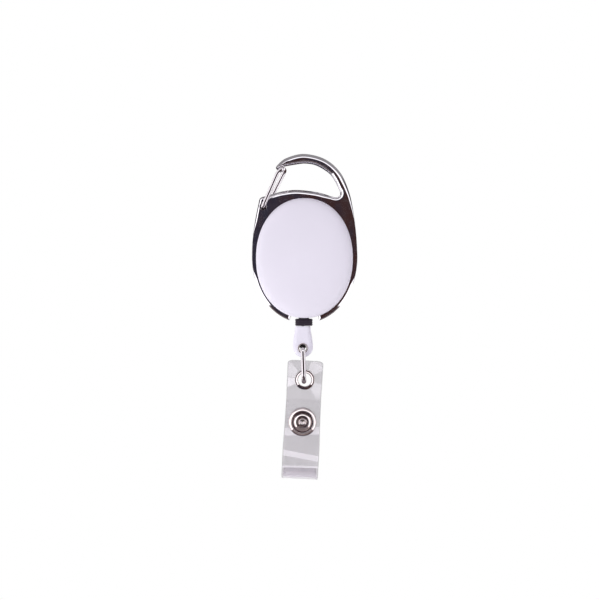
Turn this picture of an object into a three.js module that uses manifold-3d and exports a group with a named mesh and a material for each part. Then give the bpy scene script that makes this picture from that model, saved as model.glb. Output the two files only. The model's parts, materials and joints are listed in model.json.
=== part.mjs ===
// Retractable badge reel on a chromed carabiner frame, with a clear snap strap.
//
// Millimetres. +Z is up and the white face looks along -Y. The origin is the top
// of the hook's inner edge, where the reel hangs on a belt loop. Most pieces are
// drawn about the centre of the oval case, which a group then lowers to its place.

import * as THREE from 'three';
import { mergeVertices } from 'three/addons/utils/BufferGeometryUtils.js';
import Module from 'manifold-3d';

const wasm = await Module();
wasm.setup();

// ---- driving dimensions ----

const CASE = {
  belowSeat: 32.9, // from the hook's seat down to the centre of the oval
  halfWidth: 16.75,
  halfHeight: 20.75,
  fullness: 2.1, // exponent of the oval, where 2 is an ellipse
  waist: 15.3, // half width where the walls pass through the frame
  wall: 1.2,
  lipBack: 1.9, // the lip's inner side, from the middle plane
  joint: 0.05, // half the gap between the two shells
  frontDepth: 5.4,
  backDepth: 4.8,
};

// The four pins that join the shells, and the bosses that hold the spring's arbor.
const PIN = { radius: 0.8, clearance: 0.15, bossRadius: 1.6, front: -3.9, tip: 1.2, socketEnd: 2.6 };
const PIN_PLACES = [[-5, 14.8], [5, 14.8], [-6.8, -14.0], [6.8, -14.0]];
const ARBOR_BOSS = { frontRadius: 3.2, backRadius: 3.4, clearance: 0.1 };

const FRAME = {
  centre: [0.1, 0.7],
  halfWidth: 18.3,
  halfHeight: 23.15,
  innerHalfWidth: 15.6,
  innerHalfHeight: 19.4,
  fullness: 2.04,
  tipHalfGap: 5.15, // the ring is open at the bottom, where the cord leaves
  thickness: 3.2,
  bevel: 0.45,
};

const GATE = {
  wire: 0.7,
  bend: 1.1,
  frontPivot: [-14.3, 17.9],
  backPivot: [-12.9, 18.5],
  frontTop: [-9.1, 29.9],
  bridge: [-7.4, 30.7], // the bend turns in behind the nose here
  backTop: [-6.9, 30.2],
  legY: 2.5,
  stubY: 0.75,
  holeRadius: 1.2,
  holeDepth: 1.0,
};

const LINE_X = -0.55; // the cord, the end fitting and its eyelet hang on this line

const SPOOL = {
  bore: 2.15,
  flange: 12.6,
  drumOuter: 8.4,
  drumInner: 7.6,
  front: -3.0,
  webBack: -2.2,
  grooveBack: 0.6,
  back: 1.3,
  slot: 0.9, // for the spring's outer hook
};

const ARBOR = { radius: 2.0, front: -3.9, back: 3.3, slotWidth: 0.6, slot: [-2.1, 1.25] };

const SPRING = {
  thickness: 0.25,
  front: -1.95,
  back: 1.05,
  inner: 2.75,
  outer: 7.2,
  turns: 4.5,
  innerTail: 0.3,
  outerTail: 8.2,
};

const SPRING_COVER = { bore: 2.3, radius: 8.2, front: 1.4, back: 1.8 };

const CORD = { radius: 0.4, packInner: 8.55, packOuter: 11.5, packFront: -2.05, packBack: 0.45 };

const BUSHING = {
  left: -3.2,
  right: 2.85,
  top: -21.0,
  bottom: -23.45,
  halfDepth: 2.2,
  neckHalfWidth: 1.8,
  neckHalfDepth: 1.3,
  flangeHalfWidth: 2.7,
  flangeHalfDepth: 1.9,
  flangeBottom: -16.95,
  flangeTop: -16.4,
  bore: 0.75,
};

const FITTING = {
  top: -23.6,
  topHalfWidth: 2.65,
  wideZ: -30.9,
  halfWidth: 3.5,
  bottom: -34.35,
  halfDepth: 1.8,
  bevel: 0.8,
  split: 0.05,
  knotZ: -26.3,
  chamber: 1.4,
  cordBore: 0.65,
};

const KNOT_RADIUS = 1.15;

const EYELET = { z: -31.2, bore: 1.2, barrel: 1.42, flange: 1.85, flangeThickness: 0.3 };

const LINK = { z: -31.4, wire: 0.9, halfWidth: 3.2, length: 11.3, bend: 1.25, gap: 0.06, tiltDeg: -2 };

const STRAP = {
  grommet: [0.1, -42.2], // the grommet's centre, x and z
  tiltDeg: 3,
  width: 12.4,
  thickness: 0.6,
  above: 6.7, // above the grommet's centre
  below: 34.7,
  cornerRadius: 1.8,
  foldRadius: 2.7,
  foldEnd: 0.6, // how far the folded end comes up behind
  flapGap: 0.3,
  flapTop: -6.9,
  snapZ: -14.7,
  snapY: 2.7, // where the rear leaf lies at the snap
};

const GROMMET = { bore: 2.32, barrel: 2.6, flange: 3.47, flangeThickness: 0.45, strapHole: 2.75 };

const SNAP = { radius: 4.88, barrel: 1.45, strapHole: 1.6, socketRadius: 4.6, studRadius: 1.6 };

// ---- materials ----

function finish(color, roughness, metalness, opacity = 1) {
  return new THREE.MeshStandardMaterial({
    color, roughness, metalness, opacity, transparent: opacity < 1,
  });
}

const CHROME = finish(0xc9c8cc, 0.12, 1);
const NICKEL_WIRE = finish(0xd2d0d2, 0.2, 1);
const WHITE_PLASTIC = finish(0xe8e4f2, 0.45, 0);
const WHITE_FITTING = finish(0xf0edfa, 0.35, 0);
const BLACK_PLASTIC = finish(0x1c1a20, 0.4, 0);
const SPOOL_PLASTIC = finish(0xdcdcd8, 0.5, 0);
const SPRING_STEEL = finish(0x6d7278, 0.3, 1);
const BLACK_CORD = finish(0x18181a, 0.9, 0);
const CLEAR_VINYL = finish(0xd6d2dc, 0.25, 0, 0.55);

// ---- solids ----

function signedVolume(positions, index) {
  const a = new THREE.Vector3();
  const b = new THREE.Vector3();
  const c = new THREE.Vector3();
  let volume = 0;
  for (let i = 0; i < index.length; i += 3) {
    a.fromArray(positions, 3 * index[i]);
    b.fromArray(positions, 3 * index[i + 1]);
    c.fromArray(positions, 3 * index[i + 2]);
    volume += a.dot(b.cross(c)) / 6;
  }
  return volume;
}

// The closed solid of a three.js geometry, with its faces pointing out.
function solid(geometry) {
  const bare = geometry.clone();
  bare.deleteAttribute('normal');
  bare.deleteAttribute('uv');
  const merged = mergeVertices(bare, 1e-4);
  const vertProperties = new Float32Array(merged.attributes.position.array);
  const kept = [];
  const index = merged.index.array;
  for (let i = 0; i < index.length; i += 3) {
    const [a, b, c] = [index[i], index[i + 1], index[i + 2]];
    if (a !== b && b !== c && c !== a) {
      kept.push([a, b, c]);
    }
  }
  const inward = signedVolume(vertProperties, kept.flat()) < 0;
  const triVerts = new Uint32Array(kept.flatMap(([a, b, c]) => (inward ? [a, c, b] : [a, b, c])));
  return new wasm.Manifold(new wasm.Mesh({ numProp: 3, vertProperties, triVerts }));
}

function geometryOf(manifold) {
  const mesh = manifold.getMesh();
  const geometry = new THREE.BufferGeometry();
  geometry.setAttribute('position', new THREE.BufferAttribute(mesh.vertProperties, mesh.numProp));
  geometry.setIndex(new THREE.BufferAttribute(mesh.triVerts, 1));
  geometry.computeVertexNormals();
  return geometry;
}

function box([x0, y0, z0], [x1, y1, z1]) {
  const geometry = new THREE.BoxGeometry(x1 - x0, y1 - y0, z1 - z0);
  return solid(geometry.translate((x0 + x1) / 2, (y0 + y1) / 2, (z0 + z1) / 2));
}

// A cylinder along Y from y0 to y1, centred at (x, z).
function peg(radius, y0, y1, x = 0, z = 0, sides = 24) {
  const geometry = new THREE.CylinderGeometry(radius, radius, y1 - y0, sides);
  return solid(geometry.translate(x, (y0 + y1) / 2, z));
}

// A cylinder along Z from z0 to z1, centred at (x, y).
function rod(radius, z0, z1, x = 0, y = 0, sides = 16) {
  const geometry = new THREE.CylinderGeometry(radius, radius, z1 - z0, sides).rotateX(Math.PI / 2);
  return solid(geometry.translate(x, y, (z0 + z1) / 2));
}

// A closed (radius, y) profile turned about the Y axis.
function turned(profile, segments = 32) {
  const points = [...profile, profile[0]].map(([r, y]) => new THREE.Vector2(r, y));
  return new THREE.LatheGeometry(points, segments);
}

// An (x, z) outline made into a plate from y0 to y1, with its edges rounded by bevel.
function plate(points, y0, y1, bevel = 0, bevelSegments = 2) {
  const shape = new THREE.Shape(points.map(([x, z]) => new THREE.Vector2(x, z)));
  const geometry = new THREE.ExtrudeGeometry(shape, {
    depth: y1 - y0 - 2 * bevel,
    bevelEnabled: bevel > 0,
    bevelThickness: bevel,
    bevelSize: bevel,
    bevelOffset: -bevel,
    bevelSegments,
    steps: 1,
  });
  return geometry.rotateX(Math.PI / 2).translate(0, y1 - bevel, 0);
}

// A round section swept along a curve, closed at both ends.
function swept(curve, radius, steps, sides = 10) {
  const section = [];
  for (let i = 0; i < sides; i += 1) {
    const angle = (2 * Math.PI * i) / sides;
    section.push(new THREE.Vector2(radius * Math.cos(angle), radius * Math.sin(angle)));
  }
  const shape = new THREE.Shape(section);
  return new THREE.ExtrudeGeometry(shape, { steps, extrudePath: curve, bevelEnabled: false });
}

// ---- curves ----

function spline(points, count) {
  const curve = new THREE.SplineCurve(points.map(([x, z]) => new THREE.Vector2(x, z)));
  return curve.getSpacedPoints(count).map((p) => [p.x, p.y]);
}

function ovalPoint(a, b, fullness, angle) {
  const c = Math.cos(angle);
  const s = Math.sin(angle);
  const power = 2 / fullness;
  return [a * Math.sign(c) * Math.abs(c) ** power, b * Math.sign(s) * Math.abs(s) ** power];
}

// Points of an oval about a centre, from one angle to another.
function ovalArc([cx, cz], a, b, fullness, from, to, count) {
  const points = [];
  for (let i = 0; i <= count; i += 1) {
    const [x, z] = ovalPoint(a, b, fullness, from + ((to - from) * i) / count);
    points.push([cx + x, cz + z]);
  }
  return points;
}

function arc([cx, cz], radius, from, to, count) {
  return ovalArc([cx, cz], radius, radius, 2, from, to, count);
}

// The angle at which the lower half of an oval reaches a given x.
function lowerAngle(a, fullness, x) {
  const c = Math.sign(x) * Math.abs(x / a) ** (fullness / 2);
  return -Math.acos(c);
}

// A wire through the given corners, each rounded with a bend of the given size.
function wirePath(corners, bend) {
  const points = [corners[0]];
  for (let i = 1; i < corners.length - 1; i += 1) {
    const [before, here, after] = [corners[i - 1], corners[i], corners[i + 1]];
    const reachIn = Math.min(bend, here.distanceTo(before) * 0.49);
    const reachOut = Math.min(bend, here.distanceTo(after) * 0.49);
    const start = here.clone().lerp(before, reachIn / here.distanceTo(before));
    const end = here.clone().lerp(after, reachOut / here.distanceTo(after));
    const corner = new THREE.QuadraticBezierCurve3(start, here, end);
    points.push(...corner.getPoints(4));
  }
  points.push(corners[corners.length - 1]);
  return new THREE.CatmullRomCurve3(points, false, 'centripetal');
}

// The outline of a strip of the given thickness whose middle follows a line.
function thickened(line, thickness) {
  const half = thickness / 2;
  const left = [];
  const right = [];
  for (let i = 0; i < line.length; i += 1) {
    const [x, y] = line[i];
    const before = line[Math.max(i - 1, 0)];
    const after = line[Math.min(i + 1, line.length - 1)];
    const along = new THREE.Vector2(after[0] - before[0], after[1] - before[1]).normalize();
    left.push([x - along.y * half, y + along.x * half]);
    right.push([x + along.y * half, y - along.x * half]);
  }
  return [...left, ...right.reverse()];
}

const DEG = Math.PI / 180;

// ---- the frame and its gate ----

function frameOutline() {
  const { centre, halfWidth, halfHeight, fullness, tipHalfGap } = FRAME;
  const rightTip = lowerAngle(halfWidth, fullness, tipHalfGap - centre[0]);
  const leftTip = lowerAngle(halfWidth, fullness, -tipHalfGap - centre[0]);
  const innerRight = lowerAngle(FRAME.innerHalfWidth, CASE.fullness, tipHalfGap);
  const innerLeft = lowerAngle(FRAME.innerHalfWidth, CASE.fullness, -tipHalfGap);
  const outerSide = [
    [18.4, 0.7], [18.0, 8.0], [16.9, 16.5], [15.4, 23.3], [12.4, 29.8],
    [7.1, 34.4], [-0.2, 36.2], [-6.4, 34.7], [-9.3, 32.4],
  ];
  const nose = [[-9.85, 31.6], [-9.75, 31.0], [-9.2, 30.75], [-8.4, 30.95], [-7.6, 31.55]];
  const hookInner = [
    [-6.8, 31.9], [-3.3, 32.5], [0.2, 32.9], [4.0, 32.25], [8.15, 29.85], [10.3, 27.4], [12.0, 24.1],
  ];
  const corner = [[12.45, 22.9], [12.3, 21.9], [11.6, 21.3], [10.7, 21.15]];
  const barTop = [[9.6, 21.4], [4.5, 22.9], [-2.4, 23.7], [-7.5, 23.2], [-12.0, 22.0], [-14.5, 21.25]];
  const shoulder = [[-15.2, 20.95], [-15.6, 20.3]];
  const leftSide = [[-15.85, 19.2], [-17.1, 12.9], [-18.0, 6.0], [-18.2, 0.7]];
  return [
    ...ovalArc(centre, halfWidth, halfHeight, fullness, rightTip, 0, 16),
    ...spline(outerSide, 34).slice(1),
    ...nose,
    ...spline(hookInner, 20),
    ...corner,
    ...spline(barTop, 14),
    ...shoulder,
    ...spline(leftSide, 8).slice(0, -1),
    ...ovalArc(centre, halfWidth, halfHeight, fullness, -Math.PI, leftTip, 16),
    ...ovalArc(
      [0, 0], FRAME.innerHalfWidth, FRAME.innerHalfHeight, CASE.fullness,
      innerLeft, innerRight - 2 * Math.PI, 44,
    ),
  ];
}

function carabinerFrame() {
  const half = FRAME.thickness / 2;
  const body = solid(plate(frameOutline(), -half, half, FRAME.bevel));
  const { holeRadius, holeDepth, frontPivot, backPivot } = GATE;
  return body
    .subtract(peg(holeRadius, -half - 1, -half + holeDepth, ...frontPivot, 16))
    .subtract(peg(holeRadius, half - holeDepth, half + 1, ...backPivot, 16));
}

// One wire: it turns into the frame at both ends and bridges behind the nose.
function wireGate() {
  const at = ([x, z], y) => new THREE.Vector3(x, y, z);
  const corners = [
    at(GATE.frontPivot, -GATE.stubY),
    at(GATE.frontPivot, -GATE.legY),
    at(GATE.frontTop, -GATE.legY),
    at(GATE.bridge, -GATE.legY),
    at(GATE.backTop, GATE.legY),
    at(GATE.backPivot, GATE.legY),
    at(GATE.backPivot, GATE.stubY),
  ];
  return solid(swept(wirePath(corners, GATE.bend), GATE.wire, 44, 8));
}

// ---- the case ----

// Stretches a turned solid into the case's oval.
function madeOval(geometry) {
  const position = geometry.attributes.position;
  for (let i = 0; i < position.count; i += 1) {
    const angle = Math.atan2(position.getZ(i), position.getX(i));
    const radius = Math.hypot(position.getX(i), position.getZ(i)) / CASE.halfWidth;
    const [x, z] = ovalPoint(CASE.halfWidth, CASE.halfHeight, CASE.fullness, angle);
    position.setXYZ(i, radius * x, position.getY(i), radius * z);
  }
  return geometry;
}

// One shell as (radius, height from the middle plane), from the crown to the joint and back.
function shellProfile(outer, inner) {
  return [
    ...outer,
    [CASE.halfWidth, CASE.lipBack],
    [CASE.waist, CASE.lipBack],
    [CASE.waist, CASE.joint],
    [CASE.waist - CASE.wall, CASE.joint],
    ...inner,
  ];
}

function cordNotch() {
  const middle = (BUSHING.left + BUSHING.right) / 2;
  const reach = BUSHING.neckHalfWidth + 0.3;
  const depth = BUSHING.neckHalfDepth + 0.3;
  return box(
    [middle - reach, -depth, BUSHING.top - 1],
    [middle + reach, depth, BUSHING.flangeTop + 1.4],
  );
}

function frontShell() {
  const depth = CASE.frontDepth;
  const outer = [
    [0, depth], [6, depth - 0.12], [11, depth - 0.42], [14.2, depth - 0.88],
    [15.6, depth - 1.35], [16.4, depth - 2.0], [CASE.halfWidth, depth - 2.75],
  ];
  const inner = [[14.1, 2.6], [13.2, 3.3], [10.5, 3.75], [6, 4.05], [0, 4.2]];
  const profile = shellProfile(outer, inner).map(([r, h]) => [r, -h]);
  let shell = solid(madeOval(turned(profile, 44)));
  const socket = ARBOR.radius + ARBOR_BOSS.clearance;
  const boss = peg(ARBOR_BOSS.frontRadius, -4.5, -3.25).subtract(peg(socket, -4.0, -3));
  shell = shell.add(boss);
  for (const [x, z] of PIN_PLACES) {
    shell = shell.add(peg(PIN.radius, PIN.front, PIN.tip, x, z, 12));
  }
  return shell.subtract(cordNotch());
}

function backShell() {
  const depth = CASE.backDepth;
  const outer = [
    [0, depth], [12.6, depth], [14.6, depth - 0.35], [15.9, depth - 1.0],
    [16.55, depth - 1.8], [CASE.halfWidth, depth - 2.4],
  ];
  const inner = [[14.1, 2.4], [13.0, 3.3], [12.0, 3.6], [0, 3.6]];
  let shell = solid(madeOval(turned(shellProfile(outer, inner), 44)));
  const socket = ARBOR.radius + ARBOR_BOSS.clearance;
  shell = shell.add(peg(ARBOR_BOSS.backRadius, 2.0, 4.0)).subtract(peg(socket, 1.5, 3.4));
  for (const [x, z] of PIN_PLACES) {
    shell = shell.add(peg(PIN.bossRadius, 0.3, 3.9, x, z, 12));
  }
  for (const [x, z] of PIN_PLACES) {
    shell = shell.subtract(peg(PIN.radius + PIN.clearance, 0, PIN.socketEnd, x, z, 12));
  }
  return shell.subtract(cordNotch());
}

function cordExitBushing() {
  const { left, right, top, bottom, halfDepth, flangeBottom, flangeTop } = BUSHING;
  const middle = (left + right) / 2;
  const outline = [[left, bottom], [right, bottom], [right, top], [left, top]];
  const block = solid(plate(outline, -halfDepth, halfDepth, 0.25, 1));
  const neck = box(
    [middle - BUSHING.neckHalfWidth, -BUSHING.neckHalfDepth, top - 0.5],
    [middle + BUSHING.neckHalfWidth, BUSHING.neckHalfDepth, flangeTop],
  );
  const flange = box(
    [middle - BUSHING.flangeHalfWidth, -BUSHING.flangeHalfDepth, flangeBottom],
    [middle + BUSHING.flangeHalfWidth, BUSHING.flangeHalfDepth, flangeTop],
  );
  return block.add(neck).add(flange).subtract(rod(BUSHING.bore, bottom - 1, flangeTop + 1, LINE_X));
}

// ---- the spool, its spring and the cord inside ----

function springArbor() {
  const post = peg(ARBOR.radius, ARBOR.front, ARBOR.back);
  const half = ARBOR.slotWidth / 2;
  return post.subtract(box([-3, ARBOR.slot[0], -half], [3, ARBOR.slot[1], half]));
}

function spoolDrum() {
  const { bore, flange, drumOuter, drumInner, front, webBack, grooveBack, back } = SPOOL;
  const profile = [
    [bore, front], [flange, front], [flange, webBack], [drumOuter, webBack],
    [drumOuter, grooveBack], [flange, grooveBack], [flange, back], [drumInner, back],
    [drumInner, webBack], [bore, webBack],
  ];
  const half = SPOOL.slot / 2;
  const slot = box([-drumOuter - 0.1, SPRING.front - 0.15, -half], [-drumInner + 0.5, grooveBack, half]);
  const entry = box([-drumOuter + 0.1, grooveBack - 0.1, -half], [-drumInner + 0.5, back + 1, half]);
  return solid(turned(profile, 36)).subtract(slot).subtract(entry);
}

function springCover() {
  const { bore, radius, front, back } = SPRING_COVER;
  return solid(turned([[bore, front], [radius, front], [radius, back], [bore, back]], 32));
}

// The strip runs straight out of the arbor, winds outward and hooks into the drum.
function powerSpring() {
  const line = [[SPRING.innerTail, 0], [1.4, 0], [SPRING.inner - 0.25, 0.02]];
  const steps = Math.round(SPRING.turns * 22);
  for (let i = 1; i <= steps; i += 1) {
    const t = i / steps;
    const angle = 2 * Math.PI * SPRING.turns * t;
    const radius = SPRING.inner + (SPRING.outer - SPRING.inner) * t;
    line.push([radius * Math.cos(angle), radius * Math.sin(angle)]);
  }
  line.push([-SPRING.outer - 0.35, -0.05], [-SPRING.outerTail, -0.05]);
  return solid(plate(thickened(line, SPRING.thickness), SPRING.front, SPRING.back));
}

function woundCord() {
  const { packInner, packOuter, packFront, packBack } = CORD;
  const corner = 0.3;
  const profile = [
    [packInner, packFront], [packOuter - corner, packFront], [packOuter, packFront + corner],
    [packOuter, packBack - corner], [packOuter - corner, packBack], [packInner, packBack],
  ];
  return solid(turned(profile, 36));
}

// The stretch inside the case, from the full winding to the bushing.
function cordFeed() {
  const mouth = BUSHING.flangeTop + 0.35;
  const offWinding = CORD.packOuter + CORD.radius + 0.1;
  const angle = -Math.PI / 2 + Math.acos(offWinding / -mouth);
  const start = new THREE.Vector3(offWinding * Math.cos(angle), -0.8, offWinding * Math.sin(angle));
  const corners = [
    start,
    new THREE.Vector3(LINE_X, 0, mouth + 0.6),
    new THREE.Vector3(LINE_X, 0, mouth),
  ];
  return solid(swept(wirePath(corners, 1.0), CORD.radius, 14, 8));
}

// ---- the cord's end and its fitting ----

function cordLead() {
  return rod(CORD.radius, FITTING.knotZ + KNOT_RADIUS + 0.1, BUSHING.flangeTop - 0.1, LINE_X, 0, 8);
}

function cordEndKnot() {
  const geometry = new THREE.SphereGeometry(KNOT_RADIUS, 14, 10);
  return solid(geometry.translate(LINE_X, 0, FITTING.knotZ));
}

function fittingOutline() {
  const { top, topHalfWidth, wideZ, halfWidth, bottom } = FITTING;
  const side = new THREE.CubicBezierCurve(
    new THREE.Vector2(-topHalfWidth, top),
    new THREE.Vector2(-topHalfWidth - 0.15, top - 2.8),
    new THREE.Vector2(-halfWidth, wideZ + 2.6),
    new THREE.Vector2(-halfWidth, wideZ),
  );
  const left = side.getPoints(8).map((p) => [p.x, p.y]);
  const round = ovalArc([0, wideZ], halfWidth, wideZ - bottom, 2, Math.PI, 2 * Math.PI, 16);
  const right = left.map(([x, z]) => [-x, z]).reverse();
  return [...left.slice(0, -1), ...round, ...right.slice(1)].map(([x, z]) => [x + LINE_X, z]);
}

// Both halves of the moulded end fitting, closed round the knot and the eyelet.
function fittingHalf(side) {
  const { halfDepth, bevel, split, knotZ, chamber, cordBore, top } = FITTING;
  const far = 2 * halfDepth;
  const whole = solid(plate(fittingOutline(), -halfDepth, halfDepth, bevel));
  const knotRoom = solid(new THREE.SphereGeometry(chamber, 16, 10).translate(LINE_X, 0, knotZ));
  const reach = FITTING.halfWidth + 1;
  const [y0, y1] = side < 0 ? [-far, -split] : [split, far];
  const keep = box([LINE_X - reach, y0, FITTING.bottom - 1], [LINE_X + reach, y1, top + 1]);
  return whole
    .intersect(keep)
    .subtract(knotRoom)
    .subtract(rod(cordBore, knotZ, top + 1, LINE_X))
    .subtract(peg(EYELET.barrel + 0.06, -far, far, LINE_X, EYELET.z));
}

function endEyelet() {
  const { bore, barrel, flange, flangeThickness } = EYELET;
  const inner = FITTING.halfDepth + 0.03;
  const outer = inner + flangeThickness;
  const profile = [
    [bore, -outer + 0.12], [bore + 0.15, -outer], [flange - 0.2, -outer], [flange, -inner],
    [barrel, -inner], [barrel, inner], [flange, inner], [flange - 0.2, outer],
    [bore + 0.15, outer], [bore, outer - 0.12],
  ];
  return solid(turned(profile, 28).translate(LINE_X, 0, EYELET.z));
}

// A wire loop in the YZ plane, open by a hair inside the eyelet, where its ends meet.
function linkRing() {
  const { halfWidth, length, bend, gap } = LINK;
  const points = [new THREE.Vector3(0, -gap, 0)];
  for (const [y, z] of arc([-(halfWidth - bend), -bend], bend, 90 * DEG, 180 * DEG, 5)) {
    points.push(new THREE.Vector3(0, y, z));
  }
  for (const [y, z] of arc([0, halfWidth - length], halfWidth, 180 * DEG, 360 * DEG, 12)) {
    points.push(new THREE.Vector3(0, y, z));
  }
  for (const [y, z] of arc([halfWidth - bend, -bend], bend, 0, 90 * DEG, 5)) {
    points.push(new THREE.Vector3(0, y, z));
  }
  points.push(new THREE.Vector3(0, gap, 0));
  const curve = new THREE.CatmullRomCurve3(points, false, 'centripetal');
  return solid(swept(curve, LINK.wire, 48, 10));
}

// ---- the strap, drawn about the grommet's centre ----

// A strip of the strap's thickness that follows (y, z) points, as wide as the strap.
function strip(line, outline) {
  const side = plate(thickened(line, STRAP.thickness), -STRAP.width / 2, STRAP.width / 2);
  return solid(side.rotateZ(Math.PI / 2)).intersect(solid(plate(outline, -8, 12)));
}

// The strap's outline from the front, with its upper corners rounded.
function roundedTop(top, bottom) {
  const half = STRAP.width / 2;
  const r = STRAP.cornerRadius;
  return [
    [half, bottom],
    ...arc([half - r, top - r], r, 0, 90 * DEG, 5),
    ...arc([-half + r, top - r], r, 90 * DEG, 180 * DEG, 5),
    [-half, bottom],
  ];
}

const foldCentreZ = -STRAP.below + STRAP.foldRadius + STRAP.thickness / 2;

function strapFront() {
  const turn = Math.asin(STRAP.foldEnd / STRAP.foldRadius);
  const line = [
    [0, STRAP.above], [0, 0], [0, -12], [0, -24],
    ...arc([STRAP.foldRadius, foldCentreZ], STRAP.foldRadius, 180 * DEG, 360 * DEG + turn, 16),
  ];
  return strip(line, roundedTop(STRAP.above, -STRAP.below - 1))
    .subtract(peg(GROMMET.strapHole, -1, 1))
    .subtract(peg(SNAP.strapHole, -1, 1, 0, STRAP.snapZ, 16));
}

// The rear leaf leaves the fold upright, closes in below the snap and runs flat past it.
function flapLine() {
  const turn = Math.asin(STRAP.foldEnd / STRAP.foldRadius);
  const startY = STRAP.foldRadius + STRAP.foldRadius * Math.cos(turn);
  const startZ = foldCentreZ + STRAP.foldEnd + STRAP.flapGap;
  const { snapY, snapZ, flapTop } = STRAP;
  const flatFrom = snapZ - SNAP.radius - 0.5;
  const closing = spline([
    [startY, startZ], [startY - 0.2, startZ + 2.4], [4.5, startZ + 5.3],
    [snapY + 0.6, flatFrom - 1.8], [snapY, flatFrom],
  ], 14);
  return [...closing, [snapY, snapZ], [snapY, flapTop]];
}

function strapFlap() {
  return strip(flapLine(), roundedTop(STRAP.flapTop, -STRAP.below - 1))
    .subtract(peg(SNAP.strapHole, 1, 5, 0, STRAP.snapZ, 16));
}

function grommet() {
  const { bore, barrel, flange, flangeThickness } = GROMMET;
  const face = STRAP.thickness / 2 + 0.05;
  const outer = face + flangeThickness;
  const profile = [
    [bore, -outer + 0.2], [bore + 0.3, -outer], [flange - 0.35, -outer], [flange, -face],
    [barrel, -face], [barrel, outer - 0.02], [bore, outer - 0.02],
  ];
  return solid(turned(profile, 32));
}

function grommetWasher() {
  const { barrel, flange, flangeThickness } = GROMMET;
  const face = STRAP.thickness / 2 + 0.05;
  const outer = face + flangeThickness - 0.1;
  const inner = barrel + 0.06;
  return solid(turned([[inner, face], [flange, face], [flange - 0.2, outer], [inner, outer]], 32));
}

// The snap's visible side: a rolled rim, a groove, a ring and a small dome.
function snapCap() {
  const face = -STRAP.thickness / 2 - 0.05;
  const profile = [
    [0, -1.75], [0.9, -1.65], [1.7, -1.15], [2.2, -1.1], [2.45, -1.4], [2.85, -1.4],
    [3.05, -0.75], [3.75, -0.75], [4.0, -1.35], [4.45, -1.45], [SNAP.radius, -0.95],
    [SNAP.radius - 0.1, face], [SNAP.barrel, face], [SNAP.barrel, 0.3], [0, 0.3],
  ];
  return solid(turned(profile, 32).translate(0, 0, STRAP.snapZ));
}

function snapSocket() {
  const face = STRAP.thickness / 2 + 0.05;
  const profile = [
    [0, face], [SNAP.socketRadius, face], [SNAP.socketRadius, 1.0], [3.9, 1.5],
    [2.2, 1.5], [SNAP.studRadius + 0.3, 1.3], [SNAP.studRadius + 0.3, face + 0.2], [0, face + 0.2],
  ];
  return solid(turned(profile, 32).translate(0, 0, STRAP.snapZ));
}

function snapStud() {
  const face = STRAP.snapY - STRAP.thickness / 2 - 0.05;
  const knob = SNAP.studRadius;
  const profile = [
    [0, 0.8], [knob - 0.5, 0.8], [knob - 0.05, 1.1], [knob - 0.25, 1.75], [knob + 0.5, face - 0.3],
    [SNAP.socketRadius - 0.3, face - 0.3], [SNAP.socketRadius - 0.1, face], [0, face],
  ];
  return solid(turned(profile, 32).translate(0, 0, STRAP.snapZ));
}

function snapPost() {
  const face = STRAP.snapY + STRAP.thickness / 2 + 0.05;
  const profile = [
    [0, STRAP.snapY - 0.25], [SNAP.barrel, STRAP.snapY - 0.25], [SNAP.barrel, face],
    [SNAP.radius - 0.1, face], [SNAP.radius, face + 0.4], [4.3, face + 0.75],
    [2.9, face + 0.62], [1.4, face + 0.42], [0, face + 0.42],
  ];
  return solid(turned(profile, 32).translate(0, 0, STRAP.snapZ));
}

// ---- the assembly ----

function piece(name, manifold, material) {
  const mesh = new THREE.Mesh(geometryOf(manifold), material);
  mesh.name = name;
  return mesh;
}

const reel = new THREE.Group();

const caseGroup = new THREE.Group();
caseGroup.position.z = -CASE.belowSeat;
reel.add(caseGroup);
caseGroup.add(
  piece('carabiner_frame', carabinerFrame(), CHROME),
  piece('wire_gate', wireGate(), NICKEL_WIRE),
  piece('front_shell', frontShell(), WHITE_PLASTIC),
  piece('back_shell', backShell(), WHITE_PLASTIC),
  piece('cord_exit_bushing', cordExitBushing(), BLACK_PLASTIC),
  piece('spring_arbor', springArbor(), SPRING_STEEL),
  piece('spool_drum', spoolDrum(), SPOOL_PLASTIC),
  piece('spring_cover', springCover(), SPOOL_PLASTIC),
  piece('power_spring', powerSpring(), SPRING_STEEL),
  piece('wound_cord', woundCord(), BLACK_CORD),
  piece('cord_feed', cordFeed(), BLACK_CORD),
  piece('cord_lead', cordLead(), BLACK_CORD),
  piece('cord_end_knot', cordEndKnot(), BLACK_CORD),
  piece('end_fitting_front', fittingHalf(-1), WHITE_FITTING),
  piece('end_fitting_back', fittingHalf(1), WHITE_FITTING),
  piece('end_eyelet', endEyelet(), CHROME),
);

const linkGroup = new THREE.Group();
linkGroup.position.set(LINE_X, 0, LINK.z);
linkGroup.rotation.y = LINK.tiltDeg * DEG;
linkGroup.add(piece('link_ring', linkRing(), NICKEL_WIRE));
caseGroup.add(linkGroup);

const strapGroup = new THREE.Group();
strapGroup.position.set(STRAP.grommet[0], 0, STRAP.grommet[1]);
strapGroup.rotation.y = STRAP.tiltDeg * DEG;
strapGroup.add(
  piece('strap_front', strapFront(), CLEAR_VINYL),
  piece('strap_flap', strapFlap(), CLEAR_VINYL),
  piece('grommet', grommet(), CHROME),
  piece('grommet_washer', grommetWasher(), CHROME),
  piece('snap_cap', snapCap(), CHROME),
  piece('snap_socket', snapSocket(), CHROME),
  piece('snap_stud', snapStud(), CHROME),
  piece('snap_post', snapPost(), CHROME),
);
caseGroup.add(strapGroup);

export default reel;
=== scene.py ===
import json
import math

import bpy
import numpy as np
from mathutils import Matrix, Vector
from mathutils.geometry import delaunay_2d_cdt
from numpy.linalg import norm


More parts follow.
